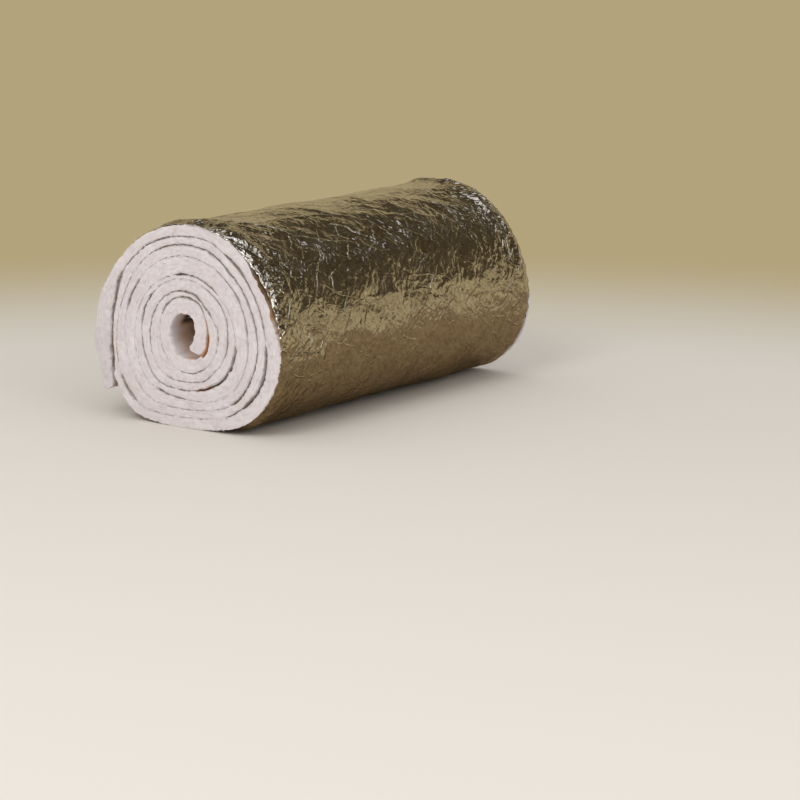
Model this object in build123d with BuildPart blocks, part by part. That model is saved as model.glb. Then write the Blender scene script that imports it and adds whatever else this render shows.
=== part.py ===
"""Insulation roll: a glass-wool blanket with a thin foil facing, wound up and lying on its side.

The axis of the roll runs along Y. The end that shows the loose outer tail hanging down at the left
is at -Y, the floor is at z = 0, and all sizes are in millimetres. The winding is a chain of arcs that
are tangent to each other. Its angle grows from the left side over the top, to the right and inward.
"""

import math
import os

from build123d import *

os.makedirs("parts", exist_ok=True)

# Driving dimensions of the roll
roll_length = 610.0
roll_width = 337.0
turns = 7.5
facing_thickness = 0.6
facing_turns = 4.0
slot_gap = 0.9
slot_depth = 14.0

# How the soft roll has settled: each turn is bent in the same nine arcs. These are the angles where they
# start, and the radii of the wool's outer face at the start and at the end of the winding, as shares of
# the roll's width.
joints = (0, 40, 85, 130, 175, 220, 260, 278, 322)
outer_bends = (0.555, 0.493, 0.484, 0.531, 0.374, 0.356, 1.484, 0.243, 0.407)
inner_bends = (0.136, 0.110, 0.101, 0.125, 0.134, 0.113, 0.101, 0.107, 0.136)

# The loose outer tail and the free inner end
tail_lift = 8.0
tail_drop = 62.0
tail_radius = 200.0
tail_thickness = 22.0
inner_end_angle = 50.0
inner_wool = 16.0

# Sizes that follow from the ones above
arcs_per_turn = len(joints)
slot_width = facing_thickness + slot_gap
last_angle = turns * 360 + inner_end_angle


class Arc:
    """One arc of the section, given by its centre, radius and two angles in degrees."""

    def __init__(self, x, z, radius, start, end):
        self.x, self.z, self.radius, self.start, self.end = x, z, radius, start, end

    def point(self, share, offset=0.0):
        """The point at a share of the arc's way, moved outward by the offset."""
        angle = math.radians(self.start + share * (self.end - self.start))
        reach = self.radius + offset
        return (self.x + reach * math.cos(angle), self.z + reach * math.sin(angle))


def wind():
    """The arcs of the outer wool face from the left side inward, moved to stand on the floor at x = 0."""
    stops = [turn * 360 + joint for turn in range(math.ceil(turns) + 1) for joint in joints]
    stops = [stop for stop in stops if stop < last_angle] + [last_angle]
    arcs = []
    x, z = 0.0, 0.0
    for i, (a, b) in enumerate(zip(stops, stops[1:])):
        share = (a + b) / 2 / (turns * 360)
        outer, inner = outer_bends[i % arcs_per_turn], inner_bends[i % arcs_per_turn]
        radius = (outer + share * (inner - outer)) * roll_width
        if i == 1:
            radius += tail_lift
        start = math.radians(180 - a)
        arc = Arc(x - radius * math.cos(start), z - radius * math.sin(start), radius, 180 - a, 180 - b)
        arcs.append(arc)
        x, z = arc.point(1)
    outline = [arc.point(s / 24, facing_thickness) for arc in arcs for s in range(25)]
    middle = (min(p[0] for p in outline) + max(p[0] for p in outline)) / 2
    low = min(p[1] for p in outline)
    return [Arc(arc.x - middle, arc.z - low, arc.radius, arc.start, arc.end) for arc in arcs]


winding = wind()

# The tail is free down to the left side, and from the next arc on each turn lies on the turn below it.
outer_turn = winding[: arcs_per_turn + 1]
under_turns = winding[arcs_per_turn + 1 :]
edge_turns = under_turns[: round((facing_turns - 1) * arcs_per_turn) - 1]
bore_turn = winding[-arcs_per_turn:]
tail_root = outer_turn[-1]
last_arc = winding[-1]

# The two faces of the tail hang down from the left side.
left_x, left_z = winding[0].point(0)
root_x, root_z = tail_root.point(0, slot_width)
tail_angle = math.degrees(math.asin(tail_drop / tail_radius))
tail_outer = Arc(left_x + tail_radius, left_z, tail_radius, 180 + tail_angle, 180)
tip_x, tip_z = tail_outer.point(0)
inner_shift = tip_x + tail_thickness - root_x
inner_drop = root_z - tip_z
inner_radius = (inner_drop**2 + inner_shift**2) / (2 * inner_shift)
inner_angle = math.degrees(math.asin(inner_drop / inner_radius))
tail_inner = Arc(root_x + inner_radius, root_z, inner_radius, 180 + inner_angle, 180)


def follow(arcs, offset):
    """Draws arcs end to end, all moved outward by the same offset."""
    for arc in arcs:
        ThreePointArc(arc.point(0, offset), arc.point(0.5, offset), arc.point(1, offset))


def join(*points):
    """Draws straight edges from point to point."""
    for a, b in zip(points, points[1:]):
        Line(a, b)


near_end = Plane.XZ.offset(roll_length / 2)
far_slot = Plane.XZ.offset(slot_depth - roll_length / 2)

# Both nodes are drawn on the near end and run the whole length. The turns are open at the two ends,
# where a slot as deep as slot_depth winds inward. It holds the edge of the facing in the outer turns,
# and nearer the bore the wool has pulled back over that edge.
with BuildPart() as wool_blanket:
    with BuildSketch(near_end):
        with BuildLine():
            follow([tail_outer], 0)
            follow(outer_turn, 0)
            join(tail_root.point(1), tail_root.point(1, slot_width))
            follow([tail_root], slot_width)
            follow([tail_inner], 0)
            join(tail_inner.point(0), tail_outer.point(0))
        make_face()
        with BuildLine():
            follow(bore_turn, -inner_wool)
            join(last_arc.point(1, -inner_wool), last_arc.point(1, slot_width))
            join(last_arc.point(1, slot_width), bore_turn[0].point(0, -inner_wool))
        make_face(mode=Mode.SUBTRACT)
    extrude(amount=-roll_length)
    with BuildSketch(near_end, far_slot):
        with BuildLine():
            follow(under_turns, 0)
            follow(under_turns, slot_width)
            join(under_turns[0].point(0), under_turns[0].point(0, slot_width))
            join(last_arc.point(1), last_arc.point(1, slot_width))
        make_face()
    extrude(amount=-slot_depth, mode=Mode.SUBTRACT)
wool_blanket.part.label = "wool_blanket"

with BuildPart() as foil_facing:
    with BuildSketch(near_end):
        with BuildLine():
            for offset in (0, facing_thickness):
                follow([tail_outer], offset)
                follow(outer_turn, offset)
            join(tail_outer.point(0), tail_outer.point(0, facing_thickness))
            join(tail_root.point(1), tail_root.point(1, facing_thickness))
        make_face()
    extrude(amount=-roll_length)
    with BuildSketch(near_end, far_slot):
        with BuildLine():
            for offset in (0, facing_thickness):
                follow(edge_turns, offset)
            join(edge_turns[0].point(0), edge_turns[0].point(0, facing_thickness))
            join(edge_turns[-1].point(1), edge_turns[-1].point(1, facing_thickness))
        make_face()
    extrude(amount=-slot_depth)
foil_facing.part.label = "foil_facing"

export_step(wool_blanket.part, "parts/wool_blanket.step")
export_step(foil_facing.part, "parts/foil_facing.step")
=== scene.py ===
"""Looks of the insulation roll: a wound glass-wool blanket with a foil and kraft facing.

The blanket is swept along its winding by a Geometry Nodes tree, and so are the foil outside and the
edges of the facing that show between the turns. All sizes are in metres, in the frame of the CAD model.
Angles along the winding are in degrees: 0 is the left side, 90 the top, and they grow inward to the bore.
"""

import math
from functools import partialmethod

import bmesh
import bpy
import numpy as np
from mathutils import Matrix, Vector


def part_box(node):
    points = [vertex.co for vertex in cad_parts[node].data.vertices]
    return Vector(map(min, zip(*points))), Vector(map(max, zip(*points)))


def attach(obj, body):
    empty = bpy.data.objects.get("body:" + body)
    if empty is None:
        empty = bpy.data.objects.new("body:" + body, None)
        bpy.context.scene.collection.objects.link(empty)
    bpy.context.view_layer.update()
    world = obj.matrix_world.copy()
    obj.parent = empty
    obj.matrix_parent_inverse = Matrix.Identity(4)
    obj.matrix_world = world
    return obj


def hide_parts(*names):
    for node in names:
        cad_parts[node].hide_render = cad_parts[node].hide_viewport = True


bl_info = {
    "name": "Insulation roll",
    "version": (1, 0, 0),
    "blender": (4, 5, 0),
    "location": "View3D > Sidebar > Roll",
    "description": "Builds the wound wool, the foil, the facing's edges and the stage",
    "category": "Object",
}


def paint(red, green, blue):
    """A colour given as it shows on a screen, from 0 to 1, as the linear colour that a shader takes."""
    screen = (red, green, blue)
    linear = [c / 12.92 if c <= 0.04045 else ((c + 0.055) / 1.055) ** 2.4 for c in screen]
    return (*linear, 1.0)


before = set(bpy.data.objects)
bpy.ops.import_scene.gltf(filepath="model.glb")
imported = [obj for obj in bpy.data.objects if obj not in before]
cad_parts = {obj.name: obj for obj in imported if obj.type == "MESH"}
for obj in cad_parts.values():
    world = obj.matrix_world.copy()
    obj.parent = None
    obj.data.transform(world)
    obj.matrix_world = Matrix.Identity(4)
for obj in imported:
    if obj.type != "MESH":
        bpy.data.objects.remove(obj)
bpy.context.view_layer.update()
WOOL_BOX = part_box("wool_blanket")
LENGTH = WOOL_BOX[1].y - WOOL_BOX[0].y

# The winding as in the CAD model: angles where each turn's arcs start, and their radii as shares of the
# width at the start and at the end of the winding. Only the tail's arc is longer, by 8 mm.
JOINTS = (0, 40, 85, 130, 175, 220, 260, 278, 322)
OUTER_BENDS = (0.555, 0.493, 0.484, 0.531, 0.374, 0.356, 1.484, 0.243, 0.407)
INNER_BENDS = (0.136, 0.110, 0.101, 0.125, 0.134, 0.113, 0.101, 0.107, 0.136)
TURNS = 7.5
END_ANGLE = 50.0
FACING = 0.0006
TAIL_LIFT = 0.008
TAIL_DROP = 0.070
TAIL_RADIUS = 0.200
ANGLE_STEP = 0.5

# How far each turn wanders inward from the even winding, in millimetres at an angle along the winding.
WANDER = (
    (-19, 5.0), (-11, 6.0), (-7, 5.5), (-1, 0.4), (18, 0), (38, 2.6), (62, 2.8), (80, 2.0),
    (98, 0), (320, 0), (335, 3.0), (346, 6.0), (356, 7.2), (366, 7.0), (380, 4.5), (392, -1.5),
    (420, -1.2), (448, 0.5), (466, -1.8), (484, 2.5), (507, 4.2), (544, 6.0), (569, 4.1), (596, 5.0),
    (622, 2.0), (650, -2.0), (682, -5.0), (705, -1.5), (735, 1.5), (787, -4.2), (826, -3.6), (852, 1.6),
    (886, 2.3), (928, 4.0), (955, 1.8), (1000, 0), (1060, 2.0), (1106, -3.3), (1150, -4.0), (1226, -1.9),
    (1256, 1.2), (1300, 0), (1340, -1.0), (1369, 4.5), (1400, 2.0), (1460, 1.0), (1526, 7.0), (1563, 8.0),
    (1600, 5.5), (1663, 5.0), (1692, 4.0), (1712, -0.5), (1745, -2.0), (1793, -1.6), (1820, -4.8),
    (1845, -4.0), (1885, -2.0), (1920, -0.5), (1950, -3.2), (1985, 0.8), (2033, 3.0), (2060, -1.2),
    (2085, -3.2), (2149, -4.5), (2195, -2.2), (2230, -0.5), (2264, 2.0), (2300, 5.5), (2336, -1.2),
    (2400, -1.7), (2425, -3.5), (2480, -1.0), (2520, -1.0), (2560, -5.5), (2614, -5.4), (2650, -6.2),
    (2675, -1.5), (2702, -0.8), (2730, -3.0), (2790, -3.0),
)

# Where the turns stand apart at the ends: from angle, to angle, and the gap in millimetres.
GAPS = (
    (340, 394, 4.4), (394, 440, 1.1), (440, 478, 0.6), (480, 502, 3.0), (502, 530, 1.2), (538, 556, 2.4),
    (552, 594, 2.7), (594, 609, 1.0), (668, 692, 2.3), (780, 820, 1.0), (820, 856, 1.7), (856, 925, 1.0),
    (925, 960, 1.6), (1100, 1119, 1.6), (1200, 1262, 0.8), (1352, 1374, 1.5), (1518, 1530, 1.8),
    (1530, 1570, 1.0), (1626, 1706, 2.2), (1706, 1800, 1.0), (1808, 1842, 1.7), (1915, 2000, 1.1),
    (2030, 2090, 0.7), (2145, 2235, 0.9), (2235, 2262, 1.2), (2262, 2312, 1.8), (2320, 2350, 0.9),
    (2396, 2440, 0.8), (2550, 2600, 0.9), (2600, 2720, 1.4), (2700, 2752, 4.0),
)
GAP_RAMP = 7
GAP_AT_ITS_ENDS = 0.35

# How much thicker than the rest the wool round the bore is, in millimetres at an angle along the winding.
STRIP = ((2390, 0), (2560, 0.0), (2640, 3.0), (2690, 5.0), (2735, 6.0), (2752, 5.0))

# The last turn faces the bore. Under every other turn, the next one lies within NEXT_TURN degrees further
# on, and no nearer than LEAST_WOOL.
BORE_TURN = 357
NEXT_TURN = (280, 440)
LEAST_WOOL = 0.004

# The tail hangs from about TAIL_ROOT. It thins evenly to its tip, and by TAIL_THINNING more within its
# first degrees.
TAIL_ROOT = 12.0
TAIL_THINNING = 0.004
TAIL_THINNING_ANGLE = 5

# The foil covers the wool as far as COVERED and is tucked in under the tail down to FOIL_END. Only the
# edges of the facing show from EDGES_START on.
COVERED = 345.0
FOIL_END = 398
EDGES_START = 356

# The foil lies tight at the tail's tip, on the floor and where it is tucked in, and looser past these
# angles and heights.
TIGHT_TIP = (-17.6, -14)
TIGHT_FLOOR = (0.00024, 0.012)
TIGHT_TUCK = (322, 342)

# Its rims flare and crumple most near RIM_CREST, and less and less over RIM_REACH degrees to either side.
RIM_CREST = 102
RIM_REACH = (8.4, 50.4)

# At the upper right they stand off the wool by SLACK, and the shadow painted under them deepens over
# SLACK_HEIGHTS.
SLACK = 0.0062
SLACK_ANGLES = (124, 144, 160, 182)
SLACK_HEIGHTS = (0.15, 0.21)

# Where in the bore its painted brown shade, its painted dark shade at the top and the painted shade of its
# lower corner set in or end.
BROWN_SHADE_HEIGHTS = (0.108, 0.150)
DARK_SHADE_HEIGHTS = (0.137, 0.146)
CORNER_HEIGHTS = (0.104, 0.120)
CORNER_WIDTHS = (-0.014, 0.004)

# Angles where the cut edge of the facing shows fresh and brown: by the free end, and at one place.
FRESH_END = (2640, 2690)
FRESH_PLACE = 1698

# The wool's section: how many points cross it, how round its corners are, and how far in its rows lie.
END_POINTS = 13
CORNER_POWER = 2.4
WOOL_ROWS = (0.008, 0.013, 0.020, 0.030, 0.045, 0.070, 0.110, 0.170)

# The foil's rows and those of its back near each rim, and the facing's edges in the gaps.
FOIL_MARGIN = 0.003
FOIL_SPACING = 0.0032
FOIL_BACK_ROWS = 14
EDGE_DEPTH = 0.024
EDGE_ROWS = 5

# Distances behind the cut ends over which the wool changes: its lumps, its frayed faces, its swell over the
# foil's rim, the fraying there, the slack, and in the bore its lip, its painted brown shade and its painted
# dark shade.
RELIEF_ZONE = (0.003, 0.030)
FRAY_ZONE = (0.004, 0.020)
COVER_ZONE = (0.001, 0.012)
RIM_ZONE = (0.002, 0.007)
SLACK_ZONE = (0.003, 0.016)
LIP_ZONE = (0.0, 0.006)
BROWN_SHADE_ZONE = (0.008, 0.034)
DARK_SHADE_ZONE = (0.020, 0.030)

# Points this near count as the cut end. There the wool swells over the foil's rim, and frays out past it.
END_ROW = 0.001
OVER_RIM = 0.0013
FRAY_PAST_RIM = 0.0030

# Such distances for the foil: its crumpled rim, its lower creases there, its creased back, its ragged edge.
CRUMPLE_ZONE = (0.024, 0.060)
LIE_DOWN_ZONE = (0.0, 0.018)
BACK_ZONE = (0.008, 0.036)
RAGGED_ZONE = (0.0, 0.014)

# How far back the blanket rounds off at its tip and free end, how full it stays, and how the free end leans.
ROUND_OFF = 0.006
END_FULLNESS = 0.70
END_LEAN = 0.007
END_LEAN_LENGTH = 0.022

# The facing's edge gets stouter over these angles by the free end.
EDGE_SHEET = 0.00035
STOUT_SHEET = 0.0011
STOUT_ANGLES = (2660, 2700)
STOUTER_ANGLES = (2722, 2742)

# A loose fibre's bend and length, how near the end it grows, and how squarely the wool faces outward there.
FIBRE_BEND = {"Start": (0, 0, -0.0008), "Middle": (0.002, 0, 0.004), "End": (0.0075, 0, 0.0045)}
FIBRE_LENGTH = 0.009
FIBRE_ZONE = 0.010
FIBRE_FACING = 0.8

# What stays free above the floor, and between the winding's line and the wool or the foil.
FLOOR_CLEARANCE = 0.0001
SKIN = 0.0001

# Colours of the wool's layers and of what clings to it, and painted shade: beside the seams, brown and dark
# in the bore, and grey on the tail.
PALE_TUFT = paint(0.95, 0.935, 0.94)
STREAK = paint(0.80, 0.75, 0.74)
SPECK = paint(0.56, 0.48, 0.42)
# Painted shade beside the seams between the turns.
SEAM_SHADE = paint(0.67, 0.63, 0.60)
PAPER_BIT = paint(0.50, 0.45, 0.40)
# Painted warm shade inside the bore and in the tail's gap.
BORE_SHADE_BROWN = paint(0.81, 0.645, 0.48)
# Painted dark shade at the bore's top and under the slack rim.
HOLLOW_SHADE_DARK = paint(0.13, 0.09, 0.07)
# Painted shade that greys the tail.
TAIL_SHADE_GREY = paint(0.76, 0.73, 0.74)

# Colours in the foil and in the facing's cut edge.
DULL_FOIL = paint(0.74, 0.71, 0.66)
FOIL_GRAIN = paint(0.60, 0.56, 0.50)
GREY_EDGE = paint(0.66, 0.64, 0.63)
FRESH_KRAFT = paint(0.74, 0.49, 0.30)
BROWN_EDGE = paint(0.60, 0.50, 0.41)

# Colours that the foil mirrors: the floor, and the room from its middle to its bright top.
MIRRORED_FLOOR = paint(0.57, 0.48, 0.35)
ROOM_MIDDLE = paint(0.34, 0.29, 0.20)
ROOM_HIGH = paint(0.24, 0.20, 0.135)
ROOM_TOP = paint(0.99, 0.98, 0.96)

# The lamps as name, place, aim, size and power, the world's light, and the rays that see the backdrop.
LAMPS = (
    ("key", (0.5, -2.7, 2.5), (0, -0.1, 0.15), 1.8, 37.0),
    ("fill", (2.8, -1.2, 1.6), (0, 0, 0.15), 1.6, 12.0),
)
SOFT_LIGHT = 0.74
SHOWN_RAYS = ("Camera", "Glossy", "Transmission")

# The floor fades out between two distances from its middle.
FLOOR_RADIUS = 6.0
FLOOR_FADE = (1.5, 2.7)
FLOOR_MIDDLE = (0.7, -1.0, 0.0)

# The camera, with its tilt and turn in degrees and its lens in millimetres.
CAMERA_PLACE = (2.5135, -3.2104, 0.820)
CAMERA_TILT = 90 - 11.51
CAMERA_TURN = 36.4
CAMERA_LENS = 126.0


def outward(angle):
    """The outward direction in the section at angles along the winding."""
    angle = np.radians(angle)
    return np.stack([-np.cos(angle), np.sin(angle)], -1)


def wind(width):
    """Angles along the blanket and the points of its outer wool face, from the tail's tip to the free end."""
    last = TURNS * 360 + END_ANGLE
    stops = [turn * 360 + joint for turn in range(math.ceil(TURNS) + 1) for joint in JOINTS]
    stops = [stop for stop in stops if stop < last] + [last]
    angle = [np.array([0.0])]
    point = [np.zeros((1, 2))]
    for i, (a, b) in enumerate(zip(stops, stops[1:])):
        share = (a + b) / 2 / (TURNS * 360)
        outer, inner = OUTER_BENDS[i % len(JOINTS)], INNER_BENDS[i % len(JOINTS)]
        radius = (outer + share * (inner - outer)) * width + (TAIL_LIFT if i == 1 else 0)
        steps = np.linspace(a, b, int(round((b - a) / ANGLE_STEP)) + 1)[1:]
        angle.append(steps)
        point.append(point[-1][-1] + radius * (outward(steps) - outward(a)))
    angle, point = np.concatenate(angle), np.concatenate(point)
    edge = point + outward(angle) * FACING
    middle = (edge[:, 0].min() + edge[:, 0].max()) / 2
    point -= (middle, edge[:, 1].min())
    swing = math.degrees(math.asin(TAIL_DROP / TAIL_RADIUS))
    tail = np.arange(-swing, 0, ANGLE_STEP)
    hang = point[0] + TAIL_RADIUS * (outward(tail) - outward(0.0))
    return np.concatenate([tail, angle]), np.concatenate([hang, point])


def smooth_table(table, angle):
    """Values of a table of (angle, value) pairs, eased from one to the next."""
    stops, values = np.array(table, float).T
    i = np.clip(np.searchsorted(stops, angle, "right") - 1, 0, len(stops) - 2)
    t = np.clip((angle - stops[i]) / (stops[i + 1] - stops[i]), 0, 1)
    return values[i] + (values[i + 1] - values[i]) * t * t * (3 - 2 * t)


def gap_at(angle):
    """The gap outside the blanket at an angle along it, in metres."""
    gap = np.zeros(np.shape(angle))
    for start, end, size in GAPS:
        ramp = np.clip(np.minimum(angle - start, end - angle) / GAP_RAMP + GAP_AT_ITS_ENDS, 0, 1)
        gap = np.maximum(gap, np.sqrt(ramp) * size / 1000)
    return gap


class Winding:
    """The wandering winding, sampled evenly along its length, with the wool's thickness at each sample."""

    def __init__(self, roll):
        angle, point = wind(roll.width)
        point = point - outward(angle) * smooth_table(WANDER, angle)[:, None] / 1000
        point[:, 1] = np.maximum(point[:, 1], FACING)
        along = np.concatenate([[0], np.cumsum(np.linalg.norm(np.diff(point, axis=0), axis=1))])
        count = int(along[-1] / roll.step)
        self.along = np.linspace(0, along[-1], count)
        self.angle = np.interp(self.along, along, angle)
        self.point = np.stack([np.interp(self.along, along, point[:, k]) for k in (0, 1)], -1)
        self.out = outward(self.angle)
        self.gap_out = gap_at(self.angle)
        self.gap_in = np.zeros(count)
        thicker = smooth_table(STRIP, self.angle) - smooth_table(WANDER, self.angle)
        self.reach = roll.inner_wool + thicker / 1000
        for i in np.nonzero(self.angle < angle[-1] - BORE_TURN)[0]:
            self.meet_next_turn(i, angle, point)
        self.thin_tail(roll.tail_tip)

    def meet_next_turn(self, i, angle, point):
        """Looks inward from a sample to the turn below, for the wool's thickness and the gap there."""
        near = (angle > self.angle[i] + NEXT_TURN[0]) & (angle < self.angle[i] + NEXT_TURN[1])
        rel = point[near] - self.point[i]
        depth = -rel @ self.out[i]
        side = rel @ np.array([self.out[i][1], -self.out[i][0]])
        hit = np.nonzero((side[:-1] * side[1:] <= 0) & (depth[:-1] > LEAST_WOOL))[0]
        if len(hit):
            h = hit[0]
            t = side[h] / (side[h] - side[h + 1] + 1e-12)
            self.reach[i] = depth[h] + t * (depth[h + 1] - depth[h])
            self.gap_in[i] = gap_at(angle[near][h])

    def thin_tail(self, tip):
        """Thins the tail from the wool at its root to its tip."""
        tail = self.angle < 0
        root = self.reach[~tail][0]
        hang = -self.angle[tail]
        thinner = TAIL_THINNING * np.clip(hang / TAIL_THINNING_ANGLE, 0, 1)
        self.reach[tail] = tip + (root - tip) * (1 - hang / hang[0]) - thinner
        self.gap_in[tail] = self.gap_in[~tail][0]


def guide(name, winding, keep, **extra):
    """A mesh line along part of the winding that carries what the sweep needs at each point."""
    point = winding.point[keep]
    count = len(point)
    spine = np.stack([point[:, 0], np.zeros(count), point[:, 1]], -1)
    mesh = bpy.data.meshes.new(name)
    mesh.from_pydata(spine.tolist(), [(i, i + 1) for i in range(count - 1)], [])
    out = winding.out[keep]
    vectors = {"spine": spine, "out": np.stack([out[:, 0], np.zeros(count), out[:, 1]], -1)}
    for key, value in vectors.items():
        mesh.attributes.new(key, "FLOAT_VECTOR", "POINT").data.foreach_set("vector", value.ravel())
    floats = {key: getattr(winding, key) for key in ("reach", "gap_out", "gap_in", "along", "angle")}
    floats.update(extra)
    for key, value in floats.items():
        value = np.ascontiguousarray(np.broadcast_to(value, winding.along.shape)[keep], float)
        mesh.attributes.new(key, "FLOAT", "POINT").data.foreach_set("value", value)
    return add_object(name, mesh)


def profile(name, loops):
    """A mesh of closed loops whose points hold the place across the wool, along the roll and the rounding."""
    verts, edges = [], []
    for loop in loops:
        start = len(verts)
        verts += loop
        edges += [(start + i, start + (i + 1) % len(loop)) for i in range(len(loop))]
    mesh = bpy.data.meshes.new(name)
    mesh.from_pydata([(u, v, 0) for u, v, _ in verts], edges, [])
    mesh.attributes.new("cut", "FLOAT_VECTOR", "POINT").data.foreach_set("vector", np.ravel(verts))
    return add_object(name, mesh)


def add_object(name, data):
    """A new object in the scene that shows the data."""
    made = bpy.data.objects.new(name, data)
    bpy.context.collection.objects.link(made)
    return made


def node(tree, kind, sockets=(), **settings):
    """Adds a node with its settings, and gives each of its sockets a value or a link."""
    made = tree.nodes.new(kind)
    for key, value in settings.items():
        setattr(made, key, value)
    for key, value in dict(sockets).items():
        if isinstance(value, Value):
            value = value.socket
        if isinstance(value, bpy.types.NodeSocket):
            tree.links.new(value, made.inputs[key])
        else:
            made.inputs[key].default_value = value
    return made


def result(tree, kind, sockets=(), **settings):
    """The first output of a new node."""
    return node(tree, kind, sockets, **settings).outputs[0]


class Value:
    """A number in a node tree. Sums, products and comparisons with it add the Math nodes for them."""

    def __init__(self, tree, socket):
        self.tree = tree
        self.socket = socket

    def calc(self, operation, *others):
        """The result of a Math node on this value and the others."""
        values = enumerate((self, *others))
        return Value(self.tree, result(self.tree, "ShaderNodeMath", values, operation=operation))

    __add__ = partialmethod(calc, "ADD")
    __sub__ = partialmethod(calc, "SUBTRACT")
    __mul__ = partialmethod(calc, "MULTIPLY")
    __truediv__ = partialmethod(calc, "DIVIDE")
    __neg__ = partialmethod(calc, "MULTIPLY", -1.0)
    __abs__ = partialmethod(calc, "ABSOLUTE")
    __gt__ = partialmethod(calc, "GREATER_THAN")
    __lt__ = partialmethod(calc, "LESS_THAN")
    sign = partialmethod(calc, "SIGN")
    at_least = partialmethod(calc, "MAXIMUM")
    at_most = partialmethod(calc, "MINIMUM")

    def __rsub__(self, other):
        """A plain number minus this value."""
        return -self + other

    def ease(self, low, high, start=0.0, end=1.0):
        """The smooth step from low to high, turned into the range from start to end."""
        sockets = {0: self, 1: low, 2: high, 3: start, 4: end}
        step = result(self.tree, "ShaderNodeMapRange", sockets, interpolation_type="SMOOTHSTEP")
        return Value(self.tree, step)

    def fade(self, low, high):
        """1 up to low, 0 from high on, and a smooth step between them."""
        return self.ease(low, high, 1.0, 0.0)

    def between(self, first, second):
        """A number between two, where this value is the share of the second."""
        return Value(self.tree, result(self.tree, "ShaderNodeMix", {0: self, 2: first, 3: second}))


def vector(tree, x=0.0, y=0.0, z=0.0):
    """A vector from three numbers."""
    return result(tree, "ShaderNodeCombineXYZ", enumerate((x, y, z)))


def parts(tree, where):
    """The three numbers of a vector."""
    return [Value(tree, socket) for socket in node(tree, "ShaderNodeSeparateXYZ", {0: where}).outputs]


def moved(tree, where, shift):
    """The sum of two vectors."""
    return result(tree, "ShaderNodeVectorMath", {0: where, 1: shift})


def scaled(tree, where, size):
    """A vector times a number."""
    return result(tree, "ShaderNodeVectorMath", {0: where, "Scale": size}, operation="SCALE")


def cloud(tree, where, scale, detail=3.0, rough=0.55):
    """A noise texture's value from 0 to 1."""
    sockets = {"Vector": where, "Scale": scale, "Detail": detail, "Roughness": rough}
    return Value(tree, result(tree, "ShaderNodeTexNoise", sockets))


def noise(tree, where, scale, detail=2.0, rough=0.5):
    """A noise texture's value, centred on nought from about -0.5 to 0.5."""
    return cloud(tree, where, scale, detail, rough) - 0.5


def turned(tree, where, turn, stretch):
    """A flat pattern's place, turned by an angle and drawn out one way."""
    sockets = {"Vector": where, "Angle": math.radians(turn)}
    where = result(tree, "ShaderNodeVectorRotate", sockets, rotation_type="Z_AXIS")
    sockets = {0: where, 1: (1.0, stretch, 1.0)}
    return result(tree, "ShaderNodeVectorMath", sockets, operation="MULTIPLY")


def creases(tree, where, turn, scale, width, stretch):
    """Raised straight folds along the borders of flat patches, from 0 to 1."""
    sockets = {"Vector": turned(tree, where, turn, stretch), "Scale": scale}
    cells = node(tree, "ShaderNodeTexVoronoi", sockets, feature="DISTANCE_TO_EDGE", voronoi_dimensions="2D")
    return Value(tree, cells.outputs["Distance"]).fade(0.0, width)


def facets(tree, where, turn, scale, stretch):
    """Flat sloping faces that meet in sharp folds, as in crumpled foil, from 0 to about 1."""
    sockets = {"Vector": turned(tree, where, turn, stretch), "Scale": scale}
    cells = node(tree, "ShaderNodeTexVoronoi", sockets, distance="MANHATTAN", voronoi_dimensions="2D")
    return Value(tree, cells.outputs["Distance"])


def bent_sheet(tree, along, length, scale, amount):
    """The sheet's flat place, pushed about so that its folds aren't dead straight."""
    flat = vector(tree, along, length, 0.0)
    bend = node(tree, "ShaderNodeTexNoise", {"Vector": flat, "Scale": scale, "Detail": 3.0}).outputs["Color"]
    return moved(tree, flat, scaled(tree, bend, amount))


def own(tree, name):
    """A named number of the guide line or the profile."""
    return Value(tree, result(tree, "GeometryNodeInputNamedAttribute", {"Name": name}))


def own_vector(tree, name):
    """A named vector of the guide line or the profile."""
    return result(tree, "GeometryNodeInputNamedAttribute", {"Name": name}, data_type="FLOAT_VECTOR")


def new_tree(name, **inputs):
    """A Geometry Nodes tree with a geometry socket each way, a material and the named inputs."""
    tree = bpy.data.node_groups.new(name, "GeometryNodeTree")
    tree.interface.new_socket("Geometry", in_out="INPUT", socket_type="NodeSocketGeometry")
    tree.interface.new_socket("Geometry", in_out="OUTPUT", socket_type="NodeSocketGeometry")
    tree.interface.new_socket("Material", in_out="INPUT", socket_type="NodeSocketMaterial")
    for label, value in inputs.items():
        kind = {type(None): "Object", int: "Int", float: "Float"}[type(value)]
        label = label.replace("_", " ").title()
        socket = tree.interface.new_socket(label, in_out="INPUT", socket_type="NodeSocket" + kind)
        if value is not None:
            socket.default_value = value
    given = tree.nodes.new("NodeGroupInput").outputs
    return tree, {socket.name: Value(tree, socket) for socket in given}


def close_tree(tree, geometry, material):
    """Ends a tree in Realize Instances and Set Material. Nothing reaches below the floor."""
    real = result(tree, "GeometryNodeRealizeInstances", {"Geometry": geometry})
    x, y, z = parts(tree, result(tree, "GeometryNodeInputPosition"))
    above = vector(tree, x, y, z.at_least(FLOOR_CLEARANCE))
    real = result(tree, "GeometryNodeSetPosition", {"Geometry": real, "Position": above})
    painted = result(tree, "GeometryNodeSetMaterial", {"Geometry": real, "Material": material})
    end = tree.nodes.new("NodeGroupOutput")
    tree.links.new(painted, end.inputs[0])


def sweep(tree, given):
    """Sweeps the profile object's loops along the guide line. Each point is then put in place by place()."""
    loops = node(tree, "GeometryNodeObjectInfo", {"Object": given["Profile"]}).outputs["Geometry"]
    path = result(tree, "GeometryNodeMeshToCurve", {"Mesh": given["Geometry"]})
    loops = result(tree, "GeometryNodeMeshToCurve", {"Mesh": loops})
    sockets = {"Curve": path, "Profile Curve": loops, "Fill Caps": True}
    return result(tree, "GeometryNodeCurveToMesh", sockets)


def inside(tree, inward):
    """The point of the section that lies inward of the spine by a depth."""
    return moved(tree, own_vector(tree, "spine"), scaled(tree, own_vector(tree, "out"), -inward))


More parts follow.
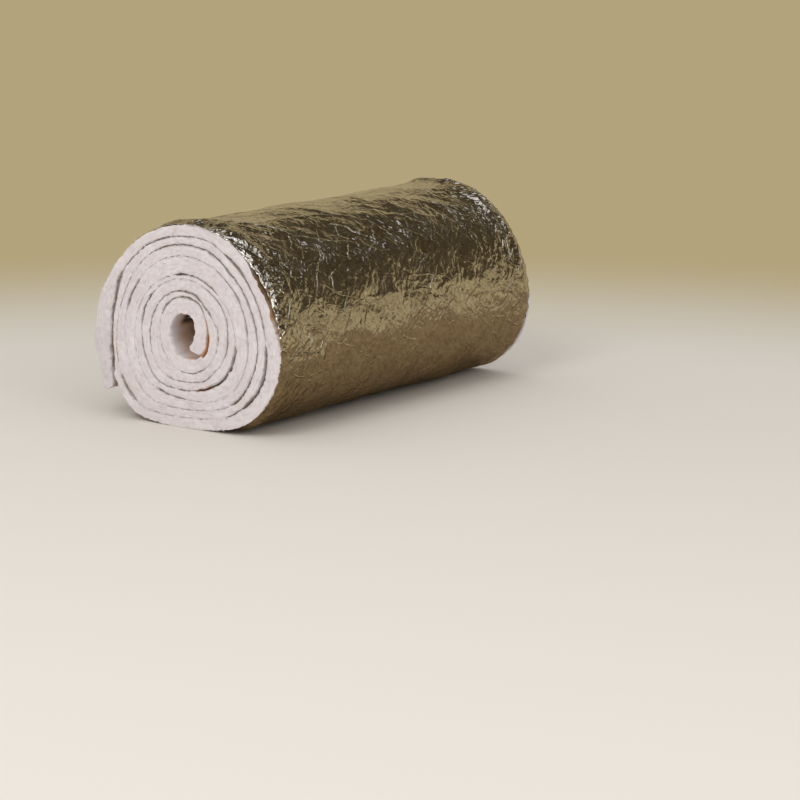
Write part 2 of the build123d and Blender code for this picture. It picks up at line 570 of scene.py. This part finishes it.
def place(tree, mesh, inward, length):
    """Moves the swept points to the spine, inward by a depth, and along the roll's axis."""
    where = moved(tree, inside(tree, inward), vector(tree, 0.0, length, 0.0))
    return result(tree, "GeometryNodeSetPosition", {"Geometry": mesh, "Position": where})


def grow(piece, tree, values):
    """Runs a tree on a piece, keeps its result as a plain mesh, and turns the faces outward."""
    grower = piece.modifiers.new("Shape", "NODES")
    grower.node_group = tree
    for item in tree.interface.items_tree:
        if item.in_out == "INPUT" and item.name in values:
            grower[item.identifier] = values[item.name]
    shown = piece.evaluated_get(bpy.context.evaluated_depsgraph_get())
    mesh = bpy.data.meshes.new_from_object(shown)
    piece.modifiers.remove(grower)
    if not len(mesh.polygons):
        raise RuntimeError(piece.name + " came out empty")
    mesh.name = piece.name
    piece.data = mesh
    form = bmesh.new()
    form.from_mesh(mesh)
    bmesh.ops.recalc_face_normals(form, faces=form.faces)
    form.to_mesh(mesh)
    form.free()
    mesh.polygons.foreach_set("use_smooth", np.full(len(mesh.polygons), True))


def grow_along(piece, loops, tree, values):
    """Grows a guide line into a piece by a tree that sweeps the loops of a section along it."""
    section = profile("section", loops)
    grow(piece, tree, {"Profile": section, **values})
    bpy.data.objects.remove(section)


def end_points(length, side):
    """Points across the wool at one end: fine at its two faces, with the share of rounding at each."""
    share = (1 - np.cos(np.linspace(0, math.pi, END_POINTS))) / 2
    rounding = 1 - (1 - np.abs(2 * share - 1) ** CORNER_POWER) ** (1 / CORNER_POWER)
    return [(float(u), side * length / 2, float(r)) for u, r in zip(share, rounding)]


def wool_profile(length):
    """The blanket's section: two soft ends, rows down its inner face and a few along its outer face."""
    rows = [length / 2 - depth for depth in WOOL_ROWS]
    inner = [(1.0, -v, 1.0) for v in rows] + [(1.0, 0.0, 1.0)] + [(1.0, v, 1.0) for v in rows[::-1]]
    outer = [(0.0, v, 1.0) for v in (rows[0], rows[3], -rows[3], -rows[0])]
    return [end_points(length, -1) + inner + end_points(length, 1)[::-1] + outer]


def foil_profile(length):
    """The foil's section: a fine row on the outside, and a back that is fine near the two rims only."""
    count = int(length / FOIL_SPACING)
    rows = [float(v) for v in np.linspace(-length / 2, length / 2, count)]
    back = rows[:FOIL_BACK_ROWS] + rows[-FOIL_BACK_ROWS:]
    return [[(1.0, v, 0.0) for v in rows] + [(0.0, v, 0.0) for v in back[::-1]]]


def edge_profile(length):
    """The facing's section in the gaps: one short strip at each end of the roll."""
    rows = [length / 2 - d for d in np.linspace(0.0, EDGE_DEPTH, EDGE_ROWS)]
    near = [(1.0, -v, 0.0) for v in rows] + [(0.0, -v, 0.0) for v in rows[::-1]]
    return [near, [(u, -v, r) for u, v, r in near]]


def end_relief(tree, given, at_end, along, side, gap):
    """The lumps and tufts of the cut ends, and how far each turn stands out or in beside the next."""
    lumps = noise(tree, at_end, 24.0) * (given["Lump Height"] * 3.0)
    tufts = noise(tree, at_end, 120.0, 3.0) * (given["Tuft Height"] * 3.0)
    steps = noise(tree, vector(tree, along, side, 0.0), 1.9, 1.0) * given["Turn Step"]
    return lumps + tufts + steps * (gap * 900.0 + 1.2)


def frayed_faces(tree, given, at_end, inner, rounding):
    """How far the wool's two faces fray near the cut ends, most of all at the corners."""
    apart = moved(tree, at_end, vector(tree, 0.0, inner * 3.0, 0.0))
    frayed = noise(tree, apart, 200.0, 3.0, 0.65) * given["Fray"]
    frayed = noise(tree, at_end, 90.0) * given["Broad Fray"] + frayed
    return frayed * (rounding * 0.8 + 0.2)


def paint_bore_shade(tree, spot, near, bare):
    """Painted shade in the bore: brown inside it, on its lower corner and on the tail's inner face in the
    gap, and dark at its top.
    """
    right, _, height = parts(tree, spot)
    hanging = own(tree, "angle") < TAIL_ROOT
    corner = right.ease(*CORNER_WIDTHS) * height.fade(*CORNER_HEIGHTS)
    to_lip = hanging.at_least(corner) * near.ease(*LIP_ZONE)
    sunk = near.ease(*BROWN_SHADE_ZONE).at_least(to_lip)
    stain = bare * height.ease(*BROWN_SHADE_HEIGHTS, 0.7, 1.0).at_least(hanging) * sunk
    hollow = bare * (height.ease(*DARK_SHADE_HEIGHTS) * near.ease(*DARK_SHADE_ZONE))
    return stain, hollow, height


def wool_tree():
    """Sweeps the wool. Its ends are lumpy, turn by turn, and drop away where the turns stand apart."""
    tree, given = new_tree(
        "Wound wool", profile=None, end=LENGTH / 2, lump_height=0.0016, tuft_height=0.0010, turn_step=0.0016,
        fray=0.0062, broad_fray=0.0026, bore_lump_height=0.0055)
    mesh = sweep(tree, given)
    across, length, rounding = parts(tree, own_vector(tree, "cut"))
    reach, gap_out, gap_in, along = (own(tree, name) for name in ("reach", "gap_out", "gap_in", "along"))

    # Where each point lies: across the wool from its outer to its inner face, and along the roll.
    across = (across - 0.5) * own(tree, "pinch") + 0.5
    inner = across > 0.5
    flutter = noise(tree, vector(tree, along), 70.0, 4.0, 0.7) * 5.0 + 0.9
    gap = inner.between(gap_out, gap_in) * flutter.at_least(0.05)
    depth = across.between(gap_out * 0.5 + SKIN, reach - gap_in * 0.5 - SKIN)
    side = length.sign()
    near = given["End"] - abs(length)
    spot = inside(tree, depth)
    at_end = moved(tree, spot, vector(tree, 0.0, side, 0.0))
    in_roll = moved(tree, spot, vector(tree, 0.0, length, 0.0))

    # The cut ends
    relief = end_relief(tree, given, at_end, along, side, gap) * near.fade(*RELIEF_ZONE)
    drop = rounding * (gap * 1.3 + 0.0003) * (near < END_ROW)
    length = length - side * (drop + relief)

    # The two faces: lumpy in the bore, frayed at the ends, tucked under the foil, and off its slack rim
    bare = inner * (own(tree, "bare") > 0.5)
    depth = noise(tree, in_roll, 48.0, 4.0, 0.6) * given["Bore Lump Height"] * bare + depth
    frayed = frayed_faces(tree, given, at_end, inner, rounding)
    depth = frayed * near.fade(*FRAY_ZONE) + depth
    covered = (own(tree, "angle") < COVERED) * (1.0 - inner)
    depth = covered * near.ease(*COVER_ZONE, -OVER_RIM, 0.0) + depth
    slack = own(tree, "slack") * (noise(tree, at_end, 60.0) * 2.0 + 1.0) * near.fade(*SLACK_ZONE)
    depth = slack * across.fade(0.0, 0.45) + depth
    depth = depth.at_least(near.ease(*RIM_ZONE, -FRAY_PAST_RIM, SKIN) - (1.0 - covered))

    # What the material reads by name
    # Painted shade for the material: brown and dark in the bore and the tail's gap, and a shadow under the
    # slack rim.
    stain, hollow, height = paint_bore_shade(tree, spot, near, bare)
    # Painted shadow on the wool under the slack rim, fed into the painted brown and dark shade.
    shadow = (own(tree, "slack") * 220.0 * across.fade(0.0, 0.03)).at_most(1.0)
    clean = covered.at_least(bare)
    shown = {
        "hollow": hollow + shadow * height.ease(*SLACK_HEIGHTS, 0.25, 0.85),
        "stain": stain.at_least(shadow),
        "seam": (gap * 420.0 + 0.28) * (1.0 - clean),
        "deep": across * reach,
    }
    for name, value in shown.items():
        sockets = {"Geometry": mesh, "Name": name, "Value": value}
        mesh = result(tree, "GeometryNodeStoreNamedAttribute", sockets)

    # The free inner end leans over, more at its inner face.
    mesh = place(tree, mesh, depth, length)
    out_x, _, out_z = parts(tree, own_vector(tree, "out"))
    over = own(tree, "over") * across.ease(0.0, 0.8)
    lean = scaled(tree, vector(tree, out_z, 0.0, -out_x), over)
    mesh = result(tree, "GeometryNodeSetPosition", {"Geometry": mesh, "Offset": lean})
    close_tree(tree, mesh, given["Material"])
    return tree


def foil_tree():
    """Sweeps the foil, pressed flat underneath and creased elsewhere, most of all at its two rims."""
    tree, given = new_tree(
        "Creased foil", profile=None, end=LENGTH / 2, crease_height=0.0012, dent_height=0.0046,
        rim_height=0.0027, sheet=0.0004, rim_shift=0.0034, ragged=0.014)
    mesh = sweep(tree, given)
    front, length, _ = parts(tree, own_vector(tree, "cut"))
    along, flare = own(tree, "along"), own(tree, "flare")
    side = length.sign()
    near = given["End"] - abs(length)

    # How high the creases stand
    bent = bent_sheet(tree, along, length, 14.0, 0.035)
    patchy = noise(tree, bent, 7.0, 1.0).ease(-0.12, 0.16)
    dents = facets(tree, bent, 24, 13.0, 0.5) * given["Dent Height"]
    small = facets(tree, bent, -38, 34.0, 0.6) * (given["Dent Height"] * 0.25)
    folds = creases(tree, bent, 12, 12.0, 0.05, 0.4) * given["Crease Height"] * patchy
    rim = facets(tree, bent, 84, 60.0, 0.45) * near.fade(*CRUMPLE_ZONE) * given["Rim Height"] * flare
    height = dents + small + (folds + rim)

    # They lie down toward the rim, under the roll and at the tail, and the back is flat away from the rims.
    at_rim = (flare * 0.20 - 0.10).at_least(0.03)
    height = height * near.ease(*LIE_DOWN_ZONE, at_rim, 1.0) * own(tree, "loose")
    height = height * front.at_least(near.fade(*BACK_ZONE))

    ragged = noise(tree, vector(tree, along, side, 0.0), 75.0, 3.0, 0.6) * given["Ragged"]
    ragged = ((flare - 1.1) * given["Rim Shift"] + ragged) * near.fade(*RAGGED_ZONE)
    mesh = place(tree, mesh, -(height + (front * given["Sheet"] + SKIN)), side * ragged + length)
    close_tree(tree, mesh, given["Material"])
    return tree


def edge_tree():
    """Sweeps the facing's edges that show in the gaps between the turns."""
    tree, given = new_tree("Facing edges", profile=None, ragged=0.005, sunk=0.0005)
    mesh = sweep(tree, given)
    front, length, _ = parts(tree, own_vector(tree, "cut"))
    side = length.sign()
    gap = own(tree, "gap_out")
    ragged = noise(tree, vector(tree, own(tree, "along"), side, 0.0), 60.0, 3.0) * given["Ragged"]
    sunk = gap * 0.35 + given["Sunk"] + ragged
    mesh = place(tree, mesh, gap * 0.5 - front * own(tree, "sheet"), length - side * sunk)
    close_tree(tree, mesh, given["Material"])
    return tree


def fibre_tree():
    """Scatters short curved fibres of wool over the ends of the turns."""
    tree, given = new_tree(
        "Loose fibres", end=LENGTH / 2, density=3e4, fibre_length=FIBRE_LENGTH, fibre_width=0.00022, seed=7)
    _, y, _ = parts(tree, result(tree, "GeometryNodeInputPosition"))
    _, facing, _ = parts(tree, result(tree, "GeometryNodeInputNormal"))
    chosen = (abs(y) > given["End"] - FIBRE_ZONE) * (abs(facing) > FIBRE_FACING)
    seed = given["Seed"]
    sockets = {"Mesh": given["Geometry"], "Selection": chosen, "Density": given["Density"], "Seed": seed}
    spread = node(tree, "GeometryNodeDistributePointsOnFaces", sockets).outputs
    line = result(tree, "GeometryNodeCurveQuadraticBezier", {"Resolution": 3, **FIBRE_BEND})
    ring = {"Resolution": 3, "Radius": given["Fibre Width"]}
    ring = result(tree, "GeometryNodeCurvePrimitiveCircle", ring)
    sockets = {"Curve": line, "Profile Curve": ring, "Fill Caps": True}
    fibre = result(tree, "GeometryNodeCurveToMesh", sockets)
    sockets = {0: (-0.5, -0.5, 0.0), 1: (0.5, 0.5, 6.283), "Seed": seed}
    turn = result(tree, "FunctionNodeRandomValue", sockets, data_type="FLOAT_VECTOR")
    turn = result(tree, "FunctionNodeEulerToRotation", {0: turn})
    sockets = {0: spread["Rotation"], 1: turn}
    aim = result(tree, "FunctionNodeRotateRotation", sockets, rotation_space="LOCAL")
    sockets = {2: 0.5, 3: 1.25, "Seed": seed}
    size = Value(tree, node(tree, "FunctionNodeRandomValue", sockets, data_type="FLOAT").outputs[1])
    size = size * (given["Fibre Length"] / FIBRE_LENGTH)
    sockets = {"Points": spread["Points"], "Instance": fibre, "Rotation": aim, "Scale": size}
    many = result(tree, "GeometryNodeInstanceOnPoints", sockets)
    close_tree(tree, many, given["Material"])
    return tree


def new_material(name, **fixed):
    """A material with one Principled shader and its even values."""
    material = bpy.data.materials.new(name)
    material.use_nodes = True
    tree = material.node_tree
    shader = tree.nodes["Principled BSDF"]
    for key, value in fixed.items():
        shader.inputs[key.replace("_", " ")].default_value = value
    return material, tree, shader


def connect(shader, name, value):
    """Links a value or a socket to one of the shader's sockets."""
    socket = value.socket if isinstance(value, Value) else value
    shader.id_data.links.new(socket, shader.inputs[name])


def bump(tree, height, strength, distance):
    """The normal of a surface with small bumps."""
    sockets = {"Height": height, "Strength": strength, "Distance": distance}
    return result(tree, "ShaderNodeBump", sockets)


def ramp(tree, value, *stops):
    """A colour ramp with stops of (place, colour)."""
    made = node(tree, "ShaderNodeValToRGB", {0: value})
    band = made.color_ramp.elements
    while len(band) < len(stops):
        band.new(0.5)
    for element, (where, colour) in zip(band, stops):
        element.position, element.color = where, colour
    return made.outputs[0]


def coats(tree, tone, *layers):
    """A colour with layers of (share, colour) laid over it in turn."""
    for share, colour in layers:
        tone = node(tree, "ShaderNodeMix", {0: share, 6: tone, 7: colour}, data_type="RGBA").outputs[2]
    return tone


def attribute(tree, name, output="Fac"):
    """A named attribute in a material."""
    return Value(tree, node(tree, "ShaderNodeAttribute", attribute_name=name).outputs[output])


def object_place(tree):
    """The place on the object that a material's pattern follows."""
    return tree.nodes.new("ShaderNodeTexCoord").outputs["Object"]


def wool_material(colour, shade):
    """Glass wool: matt, off-white, with fine fibres drawn along the turns and greyer, pinker layers."""
    material, tree, shader = new_material(
        "Glass wool", Roughness=1.0, Specular_IOR_Level=0.12, Sheen_Weight=0.15)
    where = object_place(tree)
    along, deep = attribute(tree, "along"), attribute(tree, "deep")
    wound = vector(tree, along * 0.2, deep, 0.0)
    streaks = cloud(tree, wound, 330.0, 4.0, 0.6)
    layers = cloud(tree, wound, 95.0, 3.0, 0.5)
    mottle = cloud(tree, where, 26.0, 3.0, 0.5)
    fluff = cloud(tree, where, 420.0, 4.0, 0.7)
    specks = cloud(tree, where, 260.0, 2.0, 0.6).ease(0.72, 0.78)
    blotches = cloud(tree, where, 32.0).ease(0.34, 0.60, 0.35, 1.0)

    # Bits of paper cling to the seams between the turns, and painted shade darkens the wool beside them.
    seam = attribute(tree, "seam").at_most(1.0)
    edge = deep.at_most(attribute(tree, "reach") - deep)
    torn = cloud(tree, where, 150.0, 4.0, 0.65).ease(0.46, 0.62)
    bits = edge.fade(0.0004, 0.0024) * torn * seam
    # Painted shade: a grey-brown darkening of the wool beside each seam.
    seam_shade = edge.ease(0.0, 0.0042, 0.5, 0.0) * cloud(tree, where, 18.0).ease(0.40, 0.60) * seam

    tone = coats(
        tree, colour,
        (layers.ease(0.38, 0.68, 0.0, 0.5), shade),
        (mottle.ease(0.42, 0.66, 0.0, 0.25), PALE_TUFT),
        (streaks.ease(0.30, 0.60, 0.6, 0.0), STREAK),
        (specks * 0.4, SPECK),
        (seam_shade, SEAM_SHADE),
        (bits * 0.75, PAPER_BIT),
        # Painted brown shade in the bore, in the tail's gap and under the slack rim.
        (attribute(tree, "stain") * blotches, BORE_SHADE_BROWN),
        # Painted dark shade at the bore's top and under the slack rim.
        (attribute(tree, "hollow") * 0.9, HOLLOW_SHADE_DARK),
        # Painted shade: the tail and the first part of the outer turn greyer.
        (attribute(tree, "angle").ease(-8.0, 40.0, 0.4, 0.0), TAIL_SHADE_GREY),
    )
    connect(shader, "Base Color", tone)
    connect(shader, "Normal", bump(tree, fluff * 0.7 + streaks * 0.6, 0.55, 0.0016))
    return material


def foil_material(colour, kraft):
    """Thin foil: bright metal with straight creases and a duller crinkle over them. Its back is kraft."""
    material, tree, shader = new_material("Foil")
    _, length, _ = parts(tree, object_place(tree))
    bent = bent_sheet(tree, attribute(tree, "along"), length, 20.0, 0.032)

    # The crinkle is deeper toward the rims, and deepest where the rim is crumpled.
    far = abs(length)
    crumpled = far.ease(0.278, 0.298) * (attribute(tree, "flare") - 0.55)
    strong = far.ease(0.17, 0.285, 0.5, 0.85) + crumpled
    patchy = cloud(tree, bent, 9.0, 1.0).ease(0.40, 0.62)
    fine = patchy.between(facets(tree, bent, 50, 190.0, 0.7), facets(tree, bent, -25, 160.0, 0.7))
    crinkle = facets(tree, bent, 30, 42.0, 0.55) + facets(tree, bent, -48, 100.0, 0.55) * 0.7 + fine * 0.4
    for turn, scale, stretch, share in ((22, 24.0, 0.3, 0.8), (-34, 33.0, 0.35, 0.6)):
        crinkle = crinkle + creases(tree, bent, turn, scale, 0.04, stretch) * share * patchy
    connect(shader, "Normal", bump(tree, crinkle * strong, 1.0, 0.0017))

    # The profile's first number is 1 on the foil side and 0 on the back.
    front = parts(tree, attribute(tree, "cut", "Vector"))[0] > 0.7
    dull = cloud(tree, bent, 30.0, 4.0, 0.6)
    grain = cloud(tree, turned(tree, bent, 35.0, 0.35), 260.0, 4.0, 0.7)
    tone = coats(
        tree, colour,
        (dull.ease(0.35, 0.75, 0.0, 0.5), DULL_FOIL),
        (grain.ease(0.42, 0.66, 0.0, 0.6), FOIL_GRAIN),
    )
    connect(shader, "Roughness", front.between(0.85, dull.ease(0.32, 0.72, 0.07, 0.24)))
    connect(shader, "Metallic", front)
    connect(shader, "Base Color", coats(tree, kraft, (front, tone)))
    return material


def kraft_material(colour):
    """The cut edge of foil on kraft paper: brown, greyer in places."""
    material, tree, shader = new_material("Kraft edge", Roughness=0.85)
    angle = attribute(tree, "angle")
    spots = cloud(tree, vector(tree, attribute(tree, "along")), 28.0, 3.0, 0.6)
    fresh = angle.ease(*FRESH_END).at_least(abs(angle - FRESH_PLACE).fade(5, 12))
    fine = cloud(tree, object_place(tree), 300.0)
    tone = coats(
        tree, colour,
        (spots.ease(0.36, 0.58, 0.2, 0.95), GREY_EDGE),
        (fresh, FRESH_KRAFT),
        (fine.ease(0.3, 0.8, 0.0, 0.4), BROWN_EDGE),
    )
    connect(shader, "Base Color", tone)
    return material


def carry(piece, name, nodes):
    """Names a finished piece, puts it on the body, and hides the CAD parts it stands for."""
    piece.name = name
    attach(piece, "root")
    if nodes:
        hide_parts(*nodes)


def pinched(winding):
    """How full the wool is at each sample: it rounds off toward its tip and its free end."""
    near = np.minimum(winding.along, winding.along[-1] - winding.along)
    share = np.clip(near / ROUND_OFF, 0, 1)
    return END_FULLNESS + (1 - END_FULLNESS) * np.sqrt(1 - (1 - share) ** 2)


def lay_floor(sizes):
    """A pale floor that fades out far from the roll, and that the foil mirrors browner."""
    bpy.ops.mesh.primitive_circle_add(vertices=96, radius=FLOOR_RADIUS, fill_type="NGON", location=(0, 0, 0))
    floor = bpy.context.object
    floor.name = "floor"
    material, tree, shader = new_material("Floor", Roughness=0.9, Specular_IOR_Level=0.1)
    mirrored = tree.nodes.new("ShaderNodeLightPath").outputs["Is Glossy Ray"]
    connect(shader, "Base Color", coats(tree, sizes.floor_colour, (mirrored, MIRRORED_FLOOR)))
    sockets = {0: object_place(tree), 1: FLOOR_MIDDLE}
    away = Value(tree, node(tree, "ShaderNodeVectorMath", sockets, operation="DISTANCE").outputs["Value"])
    clear = tree.nodes.new("ShaderNodeBsdfTransparent").outputs[0]
    blend = node(tree, "ShaderNodeMixShader", {0: away.ease(*FLOOR_FADE), 1: shader.outputs[0], 2: clear})
    tree.links.new(blend.outputs[0], tree.nodes["Material Output"].inputs[0])
    floor.data.materials.append(material)


def hang_backdrop(scene, sizes):
    """The world: soft light, the plain backdrop, and for the foil a dark room with a bright top."""
    world = scene.world or bpy.data.worlds.new("World")
    scene.world = world
    world.use_nodes = True
    tree = world.node_tree
    tree.nodes.clear()
    rays = tree.nodes.new("ShaderNodeLightPath").outputs
    seen, glossy, through = (Value(tree, rays[f"Is {kind} Ray"]) for kind in SHOWN_RAYS)
    mirrored = glossy.at_least(through)

    # How high in the room a mirrored ray looks, counting the front and the right as higher.
    toward = tree.nodes.new("ShaderNodeTexCoord").outputs["Generated"]
    right, back, lift = parts(tree, toward)
    lift = (cloud(tree, toward, 4.0, 3.0) - 0.5) * 0.45 + lift
    lift = (-back).at_least(0.0) * 0.5 + lift
    lift = right.at_most(0.3) * 0.42 + lift
    room = ramp(tree, lift, (0.29, sizes.backdrop_colour), (0.40, ROOM_MIDDLE),
                (0.87, ROOM_HIGH), (0.95, ROOM_TOP))

    shown = coats(tree, sizes.backdrop_colour, (mirrored, room))
    shown = result(tree, "ShaderNodeBackground", {0: shown, 1: 1.0})
    lit = result(tree, "ShaderNodeBackground", {0: (1.0, 0.99, 0.98, 1.0), 1: SOFT_LIGHT})
    both = result(tree, "ShaderNodeMixShader", {0: seen.at_least(mirrored), 1: lit, 2: shown})
    end = tree.nodes.new("ShaderNodeOutputWorld")
    tree.links.new(both, end.inputs[0])


def hang_lamps():
    """Two large soft lamps, each turned to its aim."""
    for name, where, aim, size, power in LAMPS:
        lamp = bpy.data.lights.new(name, "AREA")
        lamp.shape, lamp.size, lamp.energy = "DISK", size, power
        holder = add_object(name, lamp)
        holder.location = where
        toward = Vector(aim) - Vector(where)
        holder.rotation_euler = toward.to_track_quat("-Z", "Y").to_euler()


def set_camera(scene):
    """The camera at the photo's viewing angle."""
    view = bpy.data.cameras.new("camera")
    view.lens, view.sensor_width = CAMERA_LENS, 36.0
    view.clip_start, view.clip_end = 0.05, 60.0
    camera = add_object("camera", view)
    camera.location = CAMERA_PLACE
    camera.rotation_euler = (math.radians(CAMERA_TILT), 0.0, math.radians(CAMERA_TURN))
    scene.camera = camera


def size_of(name, description, default):
    """A property that holds a size of the roll."""
    return bpy.props.FloatProperty(name=name, description=description, default=default, unit="LENGTH")


def colour_of(name, description, *screen):
    """A property that holds a colour, given as it shows on a screen."""
    return bpy.props.FloatVectorProperty(
        name=name, description=description, subtype="COLOR", size=4, default=paint(*screen))


class RollSizes(bpy.types.PropertyGroup):
    """Sizes and colours of the roll."""

    width: size_of("Width", "Width of the wound roll", 0.337)
    length: size_of("Length", "Length of the roll along its axis", LENGTH)
    step: size_of("Step", "Distance between samples along the wool", 0.0026)
    inner_wool: size_of("Inner wool", "Thickness of the wool round the bore", 0.016)
    tail_tip: size_of("Tail tip", "Thickness of the loose tail at its tip", 0.0205)
    lump_height: size_of("Lump height", "Height of broad lumps on the ends", 0.0013)
    tuft_height: size_of("Tuft height", "Height of small tufts on the ends", 0.0010)
    crease_height: size_of("Crease height", "Height of the folds in the foil", 0.0012)
    fibre_length: size_of("Fibre length", "Length of loose fibres on the ends", 0.006)
    wool_colour: colour_of("Wool", "Colour of the wool", 0.88, 0.848, 0.852)
    wool_shade: colour_of("Wool shade", "Colour of the greyer layers", 0.85, 0.815, 0.82)
    foil_colour: colour_of("Foil", "Colour of the foil", 0.86, 0.85, 0.83)
    kraft_colour: colour_of("Kraft", "Colour of the kraft paper", 0.60, 0.50, 0.41)
    floor_colour: colour_of("Floor", "Colour of the floor", 0.86, 0.84, 0.805)
    backdrop_colour: colour_of("Backdrop", "Colour behind the roll", 0.70, 0.64, 0.49)


class ROLL_OT_stage(bpy.types.Operator):
    """Lays the floor, lights the roll and sets the camera"""

    bl_idname = "roll.stage"
    bl_label = "Stage"

    def execute(self, context):
        scene = context.scene
        scene.view_settings.view_transform = "Standard"
        lay_floor(scene.roll_sizes)
        hang_backdrop(scene, scene.roll_sizes)
        hang_lamps()
        set_camera(scene)
        return {"FINISHED"}


class ROLL_OT_wool(bpy.types.Operator):
    """Winds the wool blanket, with its loose tail and free inner end"""

    bl_idname = "roll.wool"
    bl_label = "Wool"

    def execute(self, context):
        sizes = context.scene.roll_sizes
        winding = Winding(sizes)
        angle = winding.angle
        extra = {
            "pinch": pinched(winding),
            "bare": ((angle > angle[-1] - BORE_TURN) | (angle < TAIL_ROOT)).astype(float),
            "over": END_LEAN * np.clip(1 - (winding.along[-1] - winding.along) / END_LEAN_LENGTH, 0, 1),
            "slack": SLACK * np.interp(angle, SLACK_ANGLES, (0, 1, 1, 0)),
        }
        piece = guide("wool_line", winding, angle < np.inf, **extra)
        values = {"Material": wool_material(sizes.wool_colour, sizes.wool_shade),
                  "Lump Height": sizes.lump_height, "Tuft Height": sizes.tuft_height, "End": sizes.length / 2}
        grow_along(piece, wool_profile(sizes.length), wool_tree(), values)
        carry(piece, "wound_wool", ["wool_blanket"])
        return {"FINISHED"}


class ROLL_OT_foil(bpy.types.Operator):
    """Wraps the foil round the outer turn and its tail"""

    bl_idname = "roll.foil"
    bl_label = "Foil"

    def execute(self, context):
        sizes = context.scene.roll_sizes
        winding = Winding(sizes)
        angle, height = winding.angle, winding.point[:, 1]
        off_tip = np.interp(angle, TIGHT_TIP, (0.1, 1))
        off_tuck = np.interp(angle, TIGHT_TUCK, (1, 0))
        off_floor = np.interp(height, TIGHT_FLOOR, (0.02, 1))
        extra = {
            "loose": off_tip * off_tuck * off_floor,
            "flare": np.interp(np.abs(angle - RIM_CREST), RIM_REACH, (2.0, 0.6)),
        }
        piece = guide("foil_line", winding, angle < FOIL_END, **extra)
        values = {"Material": foil_material(sizes.foil_colour, sizes.kraft_colour),
                  "Crease Height": sizes.crease_height, "End": sizes.length / 2}
        grow_along(piece, foil_profile(sizes.length - FOIL_MARGIN), foil_tree(), values)
        carry(piece, "foil_wrap", ["foil_facing"])
        return {"FINISHED"}


class ROLL_OT_edges(bpy.types.Operator):
    """Lays the facing's cut edges between the turns"""

    bl_idname = "roll.edges"
    bl_label = "Facing edges"

    def execute(self, context):
        sizes = context.scene.roll_sizes
        winding = Winding(sizes)
        angle = winding.angle
        stout = np.interp(angle, STOUT_ANGLES, (0, 1)) + 1.3 * np.interp(angle, STOUTER_ANGLES, (0, 1))
        piece = guide("edge_line", winding, angle > EDGES_START, sheet=EDGE_SHEET + STOUT_SHEET * stout)
        material = kraft_material(sizes.kraft_colour)
        grow_along(piece, edge_profile(sizes.length), edge_tree(), {"Material": material})
        carry(piece, "facing_edges", ["foil_facing"])
        return {"FINISHED"}


class ROLL_OT_fibres(bpy.types.Operator):
    """Scatters loose fibres over the two ends of the wool"""

    bl_idname = "roll.fibres"
    bl_label = "Loose fibres"

    def execute(self, context):
        sizes = context.scene.roll_sizes
        wool = bpy.data.objects["wound_wool"]
        piece = add_object("fibre_ground", wool.data.copy())
        material = wool.data.materials[0]
        values = {"Material": material, "Fibre Length": sizes.fibre_length, "End": sizes.length / 2}
        grow(piece, fibre_tree(), values)
        carry(piece, "loose_fibres", [])
        return {"FINISHED"}


class ROLL_PT_panel(bpy.types.Panel):
    """Lists the roll's sizes and the steps that build it"""

    bl_label = "Insulation roll"
    bl_idname = "ROLL_PT_panel"
    bl_space_type = "VIEW_3D"
    bl_region_type = "UI"
    bl_category = "Roll"

    def draw(self, context):
        for name in RollSizes.__annotations__:
            self.layout.prop(context.scene.roll_sizes, name)
        for step in STEPS:
            self.layout.operator(step.bl_idname)


STEPS = (ROLL_OT_stage, ROLL_OT_wool, ROLL_OT_foil, ROLL_OT_edges, ROLL_OT_fibres)
CLASSES = (RollSizes, *STEPS, ROLL_PT_panel)


def register():
    for made in CLASSES:
        bpy.utils.register_class(made)
    bpy.types.Scene.roll_sizes = bpy.props.PointerProperty(type=RollSizes)


def unregister():
    del bpy.types.Scene.roll_sizes
    for made in reversed(CLASSES):
        bpy.utils.unregister_class(made)


def main():
    """Builds every piece in order."""
    register()
    bpy.ops.roll.stage()
    bpy.ops.roll.wool()
    bpy.ops.roll.foil()
    bpy.ops.roll.edges()
    bpy.ops.roll.fibres()


if __name__ == "__main__":
    main()
